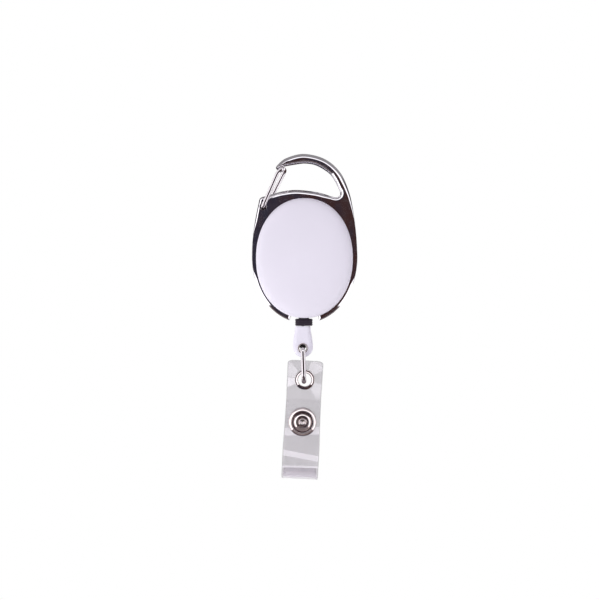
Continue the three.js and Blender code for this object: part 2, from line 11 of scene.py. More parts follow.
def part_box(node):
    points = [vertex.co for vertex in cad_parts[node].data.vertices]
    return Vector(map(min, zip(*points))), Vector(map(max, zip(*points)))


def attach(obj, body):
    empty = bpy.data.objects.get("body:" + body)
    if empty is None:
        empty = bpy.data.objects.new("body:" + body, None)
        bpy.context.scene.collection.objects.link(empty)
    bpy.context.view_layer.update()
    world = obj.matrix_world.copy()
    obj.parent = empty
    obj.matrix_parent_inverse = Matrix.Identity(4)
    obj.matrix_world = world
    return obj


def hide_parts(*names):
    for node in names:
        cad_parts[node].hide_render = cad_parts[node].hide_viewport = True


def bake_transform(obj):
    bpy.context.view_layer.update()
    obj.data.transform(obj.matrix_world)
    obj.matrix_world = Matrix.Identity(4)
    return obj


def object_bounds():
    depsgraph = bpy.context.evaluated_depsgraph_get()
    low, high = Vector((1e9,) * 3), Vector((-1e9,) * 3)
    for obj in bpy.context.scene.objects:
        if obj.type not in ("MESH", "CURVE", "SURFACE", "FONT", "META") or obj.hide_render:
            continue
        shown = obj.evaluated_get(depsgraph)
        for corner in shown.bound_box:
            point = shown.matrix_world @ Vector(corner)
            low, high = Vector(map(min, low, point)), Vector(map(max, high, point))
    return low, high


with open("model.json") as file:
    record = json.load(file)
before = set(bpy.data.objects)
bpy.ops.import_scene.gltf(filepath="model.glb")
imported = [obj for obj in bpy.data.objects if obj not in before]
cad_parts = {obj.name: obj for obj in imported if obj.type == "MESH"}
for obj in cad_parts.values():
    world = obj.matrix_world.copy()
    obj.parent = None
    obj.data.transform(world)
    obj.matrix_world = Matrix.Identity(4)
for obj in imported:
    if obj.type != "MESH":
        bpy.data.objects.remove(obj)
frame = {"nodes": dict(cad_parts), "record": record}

cad_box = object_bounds()

# A retractable badge reel: an oval case in a chromed carabiner frame, with a clear
# snap strap. Pieces are drawn in millimetres about the centre of the case, or about
# the grommet's centre for what is on the strap. -Y is the front.

MM = 0.001
JOINTS = {j["name"]: j for j in frame["record"]["behaviour"]["joints"]}


def mm(point_m):
    return np.array(point_m, float) / MM


# ---- driving sizes, in millimetres ----

CASE_CENTRE = mm(JOINTS["spool_spin"]["pos_m"])
LINE_X = mm(JOINTS["fitting_swivel"]["pos_m"])[0]  # the cord and its fitting hang on this line
EYELET_Z = float(np.mean([mm(c)[2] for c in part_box("end_eyelet")]) - CASE_CENTRE[2])
GROMMET_AT = (mm(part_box("grommet")[0]) + mm(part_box("grommet")[1])) / 2
GROMMET_AT[1] = 0.0
STRAP_TILT = math.atan2(-JOINTS["strap_swing"]["axis"][2], JOINTS["strap_swing"]["axis"][0])

OVAL = {"half_width": 16.75, "half_height": 20.75, "fullness": 2.1}
SHELL = {"waist": 15.3, "wall": 1.2, "lip": 1.9, "joint": 0.05, "front": 5.4, "back": 4.8}
FRAME = {
    "centre": (0.1, 0.7), "half_width": 18.3, "half_height": 23.15, "fullness": 2.04,
    "inner_half_width": 15.6, "inner_half_height": 19.4, "tip_half_gap": 5.15,
    "half_depth": 1.6, "easing": 0.5, "tip_slant": 0.65,
}
GATE = {
    "wire": 0.7, "bend": 1.6, "front_pivot": (-14.3, 17.9), "back_pivot": (-12.9, 18.5),
    "front_top": (-9.1, 29.9), "bridge": (-7.25, 30.95), "back_top": (-6.8, 30.5),
    "leg": 2.5, "stub": 0.75, "hole": 1.2, "hole_depth": 1.0,
}
FITTING = {
    "top": -23.6, "top_half_width": 2.65, "wide_z": -30.9, "half_width": 3.5, "bottom": -34.35,
    "half_depth": 1.8, "bevel": 1.5, "bevel_depth": 1.1, "split": 0.05,
}
EYELET = {"bore": 1.28, "barrel": 1.42, "flange": 1.85, "face": 1.83, "thickness": 0.3}
LINK = {"wire": 0.8, "half_width": 3.2, "length": 11.3, "bend": 1.25, "top": -31.5, "tilt": -2.0}
STRAP = {
    "thickness": 0.6, "above": 6.7, "below": 34.7, "corner": 2.5, "edge_radius": 0.14,
    "fold": 2.7, "fold_end": 0.6, "flap_top": -6.9, "snap_z": -14.7, "snap_y": 2.7,
}
GROMMET = {"bore": 2.32, "barrel": 2.6, "flange": 3.47, "thickness": 0.45, "hole": 2.75}
SNAP = {"radius": 4.88, "barrel": 1.45, "hole": 1.6, "socket": 4.6, "stud": 1.6}
CORD_RADIUS = 0.4
SEAT = 0.05  # between the strap and what is pressed onto it
HOLE_SIDES = 40
SMALLEST = 0.02  # of the radius, where a shape closes on its own axis

CASE_PLACE = Matrix.Translation(Vector(CASE_CENTRE) * MM)
LINK_PLACE = (
    CASE_PLACE
    @ Matrix.Translation(Vector((LINE_X, 0, LINK["top"])) * MM)
    @ Matrix.Rotation(math.radians(LINK["tilt"]), 4, "Y")
)
STRAP_PLACE = Matrix.Translation(Vector(GROMMET_AT) * MM) @ Matrix.Rotation(STRAP_TILT, 4, "Y")

# ---- curves ----


def spaced(points, count):
    """count + 1 points at equal steps along a smooth curve through the given points."""
    p = np.array(points, float)
    p = np.vstack([p[:1], p, p[-1:]])
    fine = []
    for i in range(1, len(p) - 2):
        t = np.linspace(0, 1, 24, endpoint=False)[:, None]
        a, b, c, d = p[i - 1], p[i], p[i + 1], p[i + 2]
        fine.append(
            b + 0.5 * t * (c - a)
            + t**2 * (a - 2.5 * b + 2 * c - 0.5 * d)
            + t**3 * (-0.5 * a + 1.5 * b - 1.5 * c + 0.5 * d)
        )
    fine.append(p[-2][None])
    return evenly(np.vstack(fine), count)


def evenly(points, count):
    """The polyline again, as count equal steps."""
    points = np.array(points, float)
    run = np.concatenate([[0], np.cumsum(norm(np.diff(points, axis=0), axis=1))])
    at = np.linspace(0, run[-1], count + 1)
    return np.stack([np.interp(at, run, points[:, k]) for k in range(points.shape[1])], axis=1)


def oval(angle, half_width, half_height, fullness=2.0):
    """Points of an oval, which a fullness above 2 swells towards its corners."""
    c, s = np.cos(angle), np.sin(angle)
    power = 2 / fullness
    x = half_width * np.sign(c) * np.abs(c) ** power
    z = half_height * np.sign(s) * np.abs(s) ** power
    return np.stack([x, z], axis=-1)


def arc(centre, radius, start, end, count):
    """Points of a circle from one angle to another, in degrees."""
    return np.array(centre) + oval(np.radians(np.linspace(start, end, count)), radius, radius)


def circle(centre, radius):
    """The rim of a round hole."""
    return arc(centre, radius, 0, 360, HOLE_SIDES + 1)[:-1]


def lower_angle(half_width, fullness, x):
    """The angle below its centre at which an oval reaches x."""
    return -math.acos(math.copysign(abs(x / half_width) ** (fullness / 2), x))


def rounded(corners, radius, steps, closed=False):
    """A polyline with each corner rounded by up to the given radius."""
    corners = np.array(corners, float)
    made = []
    for i, here in enumerate(corners):
        if not closed and i in (0, len(corners) - 1):
            made.append(here[None])
            continue
        before = corners[i - 1] - here
        after = corners[(i + 1) % len(corners)] - here
        reach_in = min(radius, 0.48 * norm(before))
        reach_out = min(radius, 0.48 * norm(after))
        start = here + before / norm(before) * reach_in
        end = here + after / norm(after) * reach_out
        t = np.linspace(0, 1, steps)[:, None]
        made.append((1 - t) ** 2 * start + 2 * t * (1 - t) * here + t**2 * end)
    return np.vstack(made)


def evened(loop, least, step):
    """A closed loop with no two points nearer than least and no side longer than step."""
    kept = [loop[0]]
    for point in loop[1:]:
        if norm(point - kept[-1]) > least:
            kept.append(point)
    if norm(kept[0] - kept[-1]) <= least:
        kept.pop()
    made = []
    for here, after in zip(kept, kept[1:] + kept[:1]):
        count = max(1, math.ceil(norm(after - here) / step))
        made.append(here + (after - here) * (np.arange(count) / count)[:, None])
    return np.vstack(made)


# ---- meshes ----


def set_normals(mesh, normals):
    """Gives each corner its vertex's normal, made level on the walls; nan keeps the mesh's own."""
    index = np.array([corner.vertex_index for corner in mesh.loops])
    own = np.array([n.vector for n in mesh.corner_normals])
    face_y = np.concatenate([np.full(f.loop_total, f.normal.y) for f in mesh.polygons])
    made = normals[index]
    made[np.abs(face_y) < 0.2, 1] = 0
    made /= norm(made, axis=1, keepdims=True)
    mesh.normals_split_custom_set(np.where(np.isnan(made), own, made).tolist())


def piece(name, verts, faces, place, body, stands_for, slot, flat=None, normals=None, finish=None):
    """A smooth mesh drawn in millimetres, riding on a CAD body in place of CAD nodes. flat is kept
    for the finish, which has the slot's name unless another is given."""
    mesh = bpy.data.meshes.new(name)
    mesh.from_pydata((np.array(verts) * MM).tolist(), [], [list(map(int, f)) for f in faces])
    if flat is not None:
        attribute = mesh.attributes.new("flat", "FLOAT_VECTOR", "POINT")
        attribute.data.foreach_set("vector", np.array(flat, np.float32).ravel())
    mesh.validate()
    mesh.shade_smooth()
    if normals is not None:
        set_normals(mesh, normals)
    made = bpy.data.objects.new(name, mesh)
    bpy.context.scene.collection.objects.link(made)
    made.data.materials.append(FINISHES[finish or slot])
    made.matrix_world = place
    if body:
        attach(made, body)
    if stands_for:
        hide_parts(*stands_for)
    return made


def ring_faces(rings, sides, closed_along=False):
    """Quads between successive rings of the same number of points."""
    faces = []
    for i in range(rings if closed_along else rings - 1):
        j = (i + 1) % rings
        for k in range(sides):
            m = (k + 1) % sides
            faces.append((i * sides + k, i * sides + m, j * sides + m, j * sides + k))
    return faces


def turned(profile, centre=(0, 0), segments=96):
    """A closed (radius, y) profile turned about a line along Y."""
    profile = np.array(profile, float)
    angle = np.linspace(0, 2 * math.pi, segments, endpoint=False)
    verts = [
        (centre[0] + r * math.cos(a), y, centre[1] + r * math.sin(a)) for r, y in profile for a in angle
    ]
    return np.array(verts), ring_faces(len(profile), segments, closed_along=True)


def tube(path, radius, sides=20, dome=0.25):
    """A round wire along a path, with its two ends rounded over."""
    path = np.array(path, float)
    along = np.gradient(path, axis=0)
    along /= norm(along, axis=1, keepdims=True)
    side = np.cross(along[0], (0.31, 0.17, 0.93))
    rings = []
    for here, tangent in zip(path, along):
        side = side - tangent * side.dot(tangent)
        side /= norm(side)
        other = np.cross(tangent, side)
        angle = np.linspace(0, 2 * math.pi, sides, endpoint=False)[:, None]
        rings.append((here, tangent, np.cos(angle) * side + np.sin(angle) * other))

    def cap(ring, way, angles):
        here, tangent, unit = ring
        out = way * tangent * radius * dome
        return [(here + out * math.sin(a), unit, max(math.cos(a), SMALLEST)) for a in angles]

    ends = np.radians([90, 60, 30])
    circles = cap(rings[0], -1, ends)
    circles += [(here, unit, 1.0) for here, _, unit in rings]
    circles += cap(rings[-1], 1, ends[::-1])
    verts = np.vstack([c + unit * radius * k for c, unit, k in circles])
    faces = ring_faces(len(circles), sides)
    faces.append(tuple(range(sides))[::-1])
    faces.append(tuple(range(len(verts) - sides, len(verts))))
    return verts, faces


def inside(points, loop):
    """Which points lie inside a closed loop."""
    x, z = points[:, 0][:, None], points[:, 1][:, None]
    a, b = loop, np.roll(loop, -1, axis=0)
    crosses = (a[:, 1] > z) != (b[:, 1] > z)
    rise = np.where(b[:, 1] == a[:, 1], 1e-12, b[:, 1] - a[:, 1])
    at = a[:, 0] + (z - a[:, 1]) * (b[:, 0] - a[:, 0]) / rise
    return (np.sum(crosses & (x < at), axis=1) % 2) == 1


def nearest_edge(points, loop, closed=True):
    """For each point: its distance from a line, the nearest side, and how far along that is."""
    a, b = (loop, np.roll(loop, -1, axis=0)) if closed else (loop[:-1], loop[1:])
    side = b - a
    length = np.maximum(np.sum(side**2, axis=1), 1e-9)
    found = []
    for chunk in np.array_split(points, max(1, len(points) // 1500)):
        offset = chunk[:, None] - a[None]
        t = np.clip(np.sum(offset * side, axis=2) / length, 0, 1)
        away = norm(offset - t[..., None] * side, axis=2)
        best = away.argmin(axis=1)
        row = np.arange(len(chunk))
        found.append(np.stack([away[row, best], best, t[row, best]], axis=1))
    return np.vstack(found)


def inward_normals(loop):
    """At each point of a left-turning loop, the unit vector into it."""
    ahead = np.roll(loop, -1, axis=0) - np.roll(loop, 1, axis=0)
    ahead /= norm(ahead, axis=1, keepdims=True)
    return np.stack([-ahead[:, 1], ahead[:, 0]], axis=1)


def beside_edge(points, loop, flank):
    """Each point's distance from the outline, the flank's size there, and the way inward."""
    distance, index, along = nearest_edge(points, loop).T
    index, along = index.astype(int), along[:, None]
    after = (index + 1) % len(loop)
    inward = inward_normals(loop)
    size = flank[index] * (1 - along) + flank[after] * along
    way = inward[index] * (1 - along) + inward[after] * along
    return distance, size, way / norm(way, axis=1, keepdims=True)


def round_over(distance, width, depth):
    """How far a surface is set back at a distance from an edge rounded over that width."""
    short = 1 - np.clip(distance / width, 0, 1)
    return depth * (1 - np.sqrt(1 - short**2))


def flank_tilt(share, steepest):
    """The tilt of the frame's flank: steepest at share 0, the edge, and flat at share 1."""
    return np.radians(steepest) * (1 - np.clip(share, 0, 1)) ** FRAME["easing"]


def flank_setback(distance, size):
    """How far the face is set back at a distance from the edge, from the flank's size."""
    width, steepest = size[:, 0], size[:, 1]
    share = np.clip(distance / width, 0, 1)
    at = share[:, None] + (1 - share)[:, None] * np.linspace(0, 1, 60)
    slope = np.tan(flank_tilt(at, steepest[:, None]))
    return width * np.sum((slope[:, 1:] + slope[:, :-1]) / 2 * np.diff(at, axis=1), axis=1)


def flank_normals(verts, loop, flank, holes):
    """The true normals of a plate with that flank, and nan near its holes."""
    place, face = verts[:, [0, 2]], np.sign(verts[:, 1])
    distance, size, way = beside_edge(place, loop, flank)
    tilt = flank_tilt(distance / size[:, 0], size[:, 1])
    outward = -np.sin(tilt)
    normals = np.stack([outward * way[:, 0], np.cos(tilt) * face, outward * way[:, 1]], axis=1)
    for side, blind in zip((-1, 1), holes):
        for centre, radius, fillet, _ in blind:
            near = norm(place - np.array(centre), axis=1) < radius + fillet * 1.1
            normals[near & (face == side)] = np.nan
    return normals


def left_turning(loop):
    """The loop, turned round if it runs clockwise."""
    x, z = loop[:, 0], loop[:, 1]
    area = np.sum(x * np.roll(z, -1) - z * np.roll(x, -1))
    return loop if area > 0 else loop[::-1]


def face_points(loop, flank, holes, grid):
    """Points for one face of a plate: rows along the rounded edge, rings round holes, then a grid."""
    rows = []
    inward = inward_normals(loop)
    for angle in np.radians([12, 24, 36, 48, 60, 72, 84, 96]):
        reach = flank[:, 0] * (1 - math.cos(angle))
        row = loop + inward * reach[:, None]
        good = inside(row, loop) & (nearest_edge(row, loop)[:, 0] > reach * 0.985)
        rows.append(row[good])
    low, high = loop.min(axis=0), loop.max(axis=0)
    xs = np.arange(low[0], high[0], grid)
    zs = np.arange(low[1], high[1], grid * 0.866)
    x, z = np.meshgrid(xs, zs)
    x[1::2] += grid / 2
    field = np.stack([x.ravel(), z.ravel()], axis=1)
    field = field[inside(field, loop)]
    distance, size, _ = beside_edge(field, loop, flank)
    rows.append(field[distance > size[:, 0] * 1.12 + grid * 0.3])
    points = np.vstack(rows)
    for centre, radius, fillet in holes:
        away = norm(points - np.array(centre), axis=1)
        points = points[away > radius + fillet + 0.12]
        for share in (0.2, 0.45, 0.7, 1.0, 1.25):
            ring = circle(centre, radius + fillet * share)
            points = np.vstack([points, ring[nearest_edge(ring, loop)[:, 0] > 0.05]])
    return points


def filled(loop, holes, points):
    """Triangles of the area inside a loop and outside its round holes."""
    rims = [circle(centre, radius) for centre, radius, _ in holes]
    sides = []
    start = 0
    for ring in [loop, *rims]:
        count = len(ring)
        sides += [(start + i, start + (i + 1) % count) for i in range(count)]
        start += count
    given = np.vstack([loop, *rims, points])
    out = delaunay_2d_cdt([Vector(p) for p in given], sides, [], 0, 1e-6)
    verts = np.array([tuple(v) for v in out[0]])
    faces = np.array([f for f in out[2] if len(f) == 3])
    middle = verts[faces].mean(axis=1)
    keep = inside(middle, loop)
    for rim in rims:
        keep &= ~inside(middle, rim)
    place = {}
    for made, sources in enumerate(out[3]):
        for source in sources:
            place.setdefault(source, made)
    order = [place[i] for i in range(start)]
    return verts, faces[keep], order


def pocket(mouth, hole, face_y, inward, start):
    """The wall and floor of a blind hole: verts, their rings, and quads from the mouth inward."""
    centre, radius, _, depth = hole
    rings, verts = [mouth], []
    for share, rounding in ((1.0, 0.12), (0.9, 0.0), (SMALLEST, 0.0)):
        ring = circle(centre, radius * share)
        level = face_y + inward * (depth - rounding)
        verts.append(np.stack([ring[:, 0], np.full(HOLE_SIDES, level), ring[:, 1]], axis=1))
        rings.append(list(range(start, start + HOLE_SIDES)))
        start += HOLE_SIDES
    quads = []
    for outer, inner in zip(rings, rings[1:]):
        for k in range(HOLE_SIDES):
            m = (k + 1) % HOLE_SIDES
            quads.append((outer[k], outer[m], inner[m], inner[k]))
    return np.vstack(verts), quads + [tuple(rings[-1])]


def plate(loop, front, back, bevels=None, depths=None, holes=((), ()), through=(), grid=1.0,
          flank=None, rounded_edge=None):
    """A plate from y = front to y = back, with each face rounded over at its edge, or at
    rounded_edge alone. A flank, the frame's (width, steepest tilt) at each point of the loop,
    takes the place of bevels and depths. Holes are (centre, radius, fillet), and a depth too
    in holes, which are blind. The third result is each vert's x, z and distance from the edge."""
    loop = loop if flank is not None else left_turning(loop)
    verts, faces, flat, rims = [], [], [], []
    start = 0
    for side, (level, inward) in enumerate(((front, 1), (back, -1))):
        turn = -inward
        blind = holes[side]
        cut = [tuple(h[:3]) for h in blind] + list(through)
        sizes = flank if flank is not None else np.full((len(loop), 1), max(bevels[side], 0.05))
        points = face_points(loop, sizes, cut, grid)
        flat_verts, tris, order = filled(loop, cut, points)
        distance, size, _ = beside_edge(flat_verts, loop, sizes)
        if rounded_edge is not None:
            distance = nearest_edge(flat_verts, rounded_edge, closed=False)[:, 0]
        if flank is not None:
            setback = flank_setback(distance, size)
        else:
            setback = round_over(distance, bevels[side], depths[side])
        for centre, radius, fillet in cut:
            away = norm(flat_verts - np.array(centre), axis=1) - radius
            setback = np.maximum(setback, round_over(away, fillet, fillet))
        verts.append(np.stack([flat_verts[:, 0], level + inward * setback, flat_verts[:, 1]], axis=1))
        flat.append(np.column_stack([flat_verts, distance]))
        faces += [tuple(start + i for i in t[::inward]) for t in tris]
        rims.append([start + i for i in order])
        start += len(flat_verts)
        for index, hole in enumerate(blind):
            first = len(loop) + HOLE_SIDES * index
            mouth = rims[side][first:first + HOLE_SIDES]
            new_verts, quads = pocket(mouth, hole, level, inward, start)
            verts.append(new_verts)
            flat.append(new_verts[:, [0, 2, 2]] * (1, 1, 0))
            faces += [quad[::turn] for quad in quads]
            start += len(new_verts)
    walls = [(0, 0, len(loop), 1)]
    ahead = [len(loop) + HOLE_SIDES * len(holes[side]) for side in (0, 1)]
    for index in range(len(through)):
        skip = HOLE_SIDES * index
        walls.append((ahead[0] + skip, ahead[1] + skip, HOLE_SIDES, -1))
    for first_front, first_back, count, turn in walls:
        a = rims[0][first_front:first_front + count]
        b = rims[1][first_back:first_back + count]
        for k in range(count):
            m = (k + 1) % count
            faces.append((a[m], a[k], b[k], b[m])[::turn])
    return np.vstack(verts), faces, np.vstack(flat)


def bent_along(verts, path):
    """Lays a flat strip, whose -z is its length, along (y, z) points."""
    path = np.array(path, float)
    run = np.concatenate([[0], np.cumsum(norm(np.diff(path, axis=0), axis=1))])
    along = np.gradient(path, run, axis=0)
    along /= norm(along, axis=1, keepdims=True)
    across = np.stack([-along[:, 1], along[:, 0]], axis=1)
    at = -verts[:, 2]
    y = np.interp(at, run, path[:, 0]) + verts[:, 1] * np.interp(at, run, across[:, 0])
    z = np.interp(at, run, path[:, 1]) + verts[:, 1] * np.interp(at, run, across[:, 1])
    return np.stack([verts[:, 0], y, z], axis=1)


# ---- materials ----

FINISHES = {}


class Graph:
    """Short ways to add and join the nodes of one node tree."""

    def __init__(self, tree):
        self.nodes, self.links = tree.nodes, tree.links

    def node(self, kind, **settings):
        made = self.nodes.new(kind)
        for key, value in settings.items():
            if key in made.inputs:
                made.inputs[key].default_value = value
            else:
                setattr(made, key, value)
        return made

    def link(self, source, target):
        self.links.new(source, target)

    def ramp(self, source, low, high, start, end):
        """source from low..high spread over start..end."""
        spread = {"From Min": low, "From Max": high, "To Min": start, "To Max": end}
        made = self.node("ShaderNodeMapRange", interpolation_type="SMOOTHSTEP", **spread)
        self.link(source, made.inputs["Value"])
        return made.outputs["Result"]

    def math(self, operation, *values):
        made = self.node("ShaderNodeMath", operation=operation)
        for socket, value in zip(made.inputs, values):
            if isinstance(value, (int, float)):
                socket.default_value = value
            else:
                self.link(value, socket)
        return made.outputs[0]

    def times(self, a, b):
        return self.math("MULTIPLY", a, b)

    def mix(self, factor, dark, light):
        made = self.node("ShaderNodeMix", data_type="RGBA")
        for socket, colour in ((made.inputs[6], dark), (made.inputs[7], light)):
            if isinstance(colour, tuple):
                socket.default_value = (*colour, 1)
            else:
                self.link(colour, socket)
        self.link(factor, made.inputs[0])
        return made.outputs[2]


class Finish(Graph):
    """A node material that starts from one Principled shader."""

    def __init__(self, name, **values):
        self.material = bpy.data.materials.new(name)
        self.material.use_nodes = True
        FINISHES[name] = self.material
        super().__init__(self.material.node_tree)
        self.shader = next(n for n in self.nodes if n.type == "BSDF_PRINCIPLED")
        for socket, value in values.items():
            self.shader.inputs[socket.replace("_", " ")].default_value = value

    def place(self, scale=(1, 1, 1)):
        """The piece's own coordinates, in metres, stretched by scale."""
        where = self.node("ShaderNodeTexCoord")
        mapping = self.node("ShaderNodeMapping", Scale=scale)
        self.link(where.outputs["Object"], mapping.inputs["Vector"])
        return mapping.outputs["Vector"]

    def noise(self, scale, detail=3.0, roughness=0.5, stretch=(1, 1, 1)):
        made = self.node("ShaderNodeTexNoise", Scale=scale, Detail=detail, Roughness=roughness)
        self.link(self.place(stretch), made.inputs["Vector"])
        return made.outputs["Fac"]

    def colour(self, source):
        self.link(source, self.shader.inputs["Base Color"])

    def roughness(self, source):
        self.link(source, self.shader.inputs["Roughness"])

    def bump(self, layers):
        """layers are (height, distance in metres, strength), from the coarsest to the finest."""
        last = None
        for height, distance, strength in layers:
            made = self.node("ShaderNodeBump", Distance=distance, Strength=strength)
            self.link(height, made.inputs["Height"])
            if last is not None:
                self.link(last, made.inputs["Normal"])
            last = made.outputs["Normal"]
        self.link(last, self.shader.inputs["Normal"])


def chrome(name, tint, ripple, roughness, haze=0.022):
    """Bright plate over a casting: slow ripples, a thin uneven haze with specks, and handling marks."""
    made = Finish(name)
    ripples = made.noise(170, 1.0)
    specks = made.ramp(made.noise(1500, 2.0), 0.68, 0.76, 0.0, 1.0)
    marks = made.ramp(made.noise(900, 4.0, 0.6, (1, 1, 0.12)), 0.45, 0.75, 0.0, 1.0)
    made.roughness(made.math("ADD", made.times(marks, 0.05), roughness))
    film = made.times(made.ramp(made.noise(420, 4.0, 0.65), 0.38, 0.72, 0.1, 1.0), haze)
    film = made.math("MAXIMUM", film, made.times(specks, haze * 5))
    made.link(made.math("SUBTRACT", 1.0, film), made.shader.inputs["Metallic"])
    cloud = made.ramp(made.noise(260, 3.0), 0.35, 0.7, 0.0, 1.0)
    made.colour(made.mix(cloud, tuple(c * 0.95 for c in tint), tint))
    made.bump([(ripples, ripple, 0.5), (specks, 0.000004, 0.3)])


def moulded(name, colour, roughness, grain=0.00001, **values):
    """Moulded plastic: a fine eroded grain, slight flow clouds and uneven gloss."""
    made = Finish(name, **values)
    cloud = made.ramp(made.noise(45, 3.0), 0.3, 0.7, 0.0, 1.0)
    made.colour(made.mix(cloud, tuple(c * 0.975 for c in colour), colour))
    gloss = made.noise(320, 4.0, 0.6)
    made.roughness(made.ramp(gloss, 0.3, 0.7, roughness - 0.05, roughness + 0.06))
    made.bump([(made.noise(200, 2.0), grain * 2, 0.3), (made.noise(5200, 2.0), grain, 0.4)])


def braided(name, colour):
    """Braided nylon: two sets of strands crossing round the cord, with painted shade in the grooves between
    them.
    """
    made = Finish(name, Sheen_Weight=0.25, Sheen_Roughness=0.5)
    where = made.node("ShaderNodeTexCoord")
    heights = []
    for lean in (1, -1):
        turn = made.node("ShaderNodeMapping", Rotation=(0, math.radians(35 * lean), 0))
        made.link(where.outputs["Object"], turn.inputs["Vector"])
        wave = made.node("ShaderNodeTexWave", wave_type="BANDS", bands_direction="Z", Scale=900,
                         Distortion=0.6)
        made.link(turn.outputs["Vector"], wave.inputs["Vector"])
        heights.append(wave.outputs["Fac"])
    weave = made.math("MAXIMUM", heights[0], heights[1])
    # painted shade: darker where the weave is low, in the grooves between strands
    made.colour(made.mix(weave, tuple(c * 0.45 for c in colour), colour))
    made.roughness(made.ramp(made.noise(2500, 2.0), 0.3, 0.7, 0.6, 0.85))
    made.bump([(weave, 0.00006, 0.7)])


def vinyl(name, alpha, paints_reflections):
    """Clear sheet with a smoky lilac tint, painted shade along its cut edges, and painted reflections in
    light bands along folds and in wedges where it is pulled.
    """
    made = Finish(name, Alpha=alpha, Coat_Weight=0.3, Coat_Roughness=0.06)
    spread = made.node("ShaderNodeAttribute", attribute_name="flat")
    split = made.node("ShaderNodeSeparateXYZ")
    made.link(spread.outputs["Vector"], split.inputs[0])
    across, along, edge = split.outputs
    cloud = made.ramp(made.noise(160, 3.0), 0.3, 0.7, 0.0, 1.0)
    light = made.times(cloud, 0.10)
    if paints_reflections:
        # painted reflections: light bands along the folds
        for lean, level, half, soft, strength in FOLD_REFLECTIONS:
            line = made.math("ADD", along, made.times(across, lean))
            off = made.math("ABSOLUTE", made.math("SUBTRACT", line, level))
            band = made.ramp(off, half - soft, half + soft, strength, 0.0)
            light = made.math("MAXIMUM", light, band)
        angle = made.math("ARCTAN2", along, across)
        squares = made.math("ADD", made.math("POWER", along, 2.0), made.math("POWER", across, 2.0))
        reach = made.math("SQRT", squares)
        near = made.ramp(reach, 6.5, 9.5, 1.0, 0.0)
        # painted reflections: light wedges round the grommet
        for middle, half, strength in WEDGE_REFLECTIONS:
            turn = made.math("COSINE", made.math("SUBTRACT", angle, math.radians(middle)))
            edges = (math.cos(math.radians(half + 2)), math.cos(math.radians(half - 2)))
            wedge_reflection = made.times(made.ramp(turn, *edges, 0.0, strength), near)
            light = made.math("MAXIMUM", light, wedge_reflection)
    # painted shade: the sheet darkens towards its cut edges
    rim = made.ramp(edge, 0.05, 0.45, 0.0, 1.0)
    # the sheet's smoky tint, lightened by the random haze and by the painted reflections
    body = made.mix(light, (0.30, 0.26, 0.315), (0.92, 0.87, 0.95))
    made.colour(made.mix(rim, (0.22, 0.21, 0.24), body))
    made.roughness(made.ramp(cloud, 0.0, 1.0, 0.10, 0.20))
    made.bump([(made.noise(120, 1.0), 0.0004, 0.25), (made.noise(2200, 2.0), 0.00001, 0.2)])


# Painted reflections in light bands along folds across the strap: lean, level, half width, softness and
# strength. Lean is the fall for each millimetre across, and level is counted down from the grommet's
# centre.
FOLD_REFLECTIONS = (
    (0.14, -26.4, 1.0, 0.12, 0.75),
    (-0.03, -30.3, 0.42, 0.12, 0.75),
    (0.0, -38.3, 5.6, 1.8, 0.74),
    (-0.085, -17.9, 1.35, 0.15, 0.72),
)
# Painted reflections in light wedges round the grommet, where the sheet is pulled: direction, half angle
# and strength.
WEDGE_REFLECTIONS = ((51.0, 21.0, 0.72), (151.0, 20.0, 0.65), (-170.0, 15.5, 1.25), (-34.0, 22.0, 0.6))

chrome("frame_chrome", (0.86, 0.85, 0.87), 0.0002, 0.05)
chrome("bright_wire", (0.87, 0.84, 0.85), 0.00003, 0.08)
chrome("nickel", (0.88, 0.81, 0.79), 0.00005, 0.07)
moulded("white_plastic", (0.885, 0.86, 0.955), 0.42)
moulded("fitting_plastic", (0.895, 0.875, 0.975), 0.28)
moulded("black_plastic", (0.027, 0.019, 0.031), 0.38)
moulded("spool_plastic", (0.72, 0.72, 0.69), 0.45)
chrome("spring_steel", (0.36, 0.38, 0.42), 0.00003, 0.22)
braided("nylon_cord", (0.035, 0.034, 0.037))
vinyl("clear_vinyl", 0.33, True)
vinyl("clear_vinyl_rear", 0.045, False)

# ---- the carabiner frame and its gate ----


def flanked(points, *levels):
    """The points with the flank's size beside them, from levels of (z, width, steepest tilt)."""
    z, width, steepest = zip(*levels)
    at = points[:, 1]
    return np.column_stack([points, np.interp(at, z, width), np.interp(at, z, steepest)])


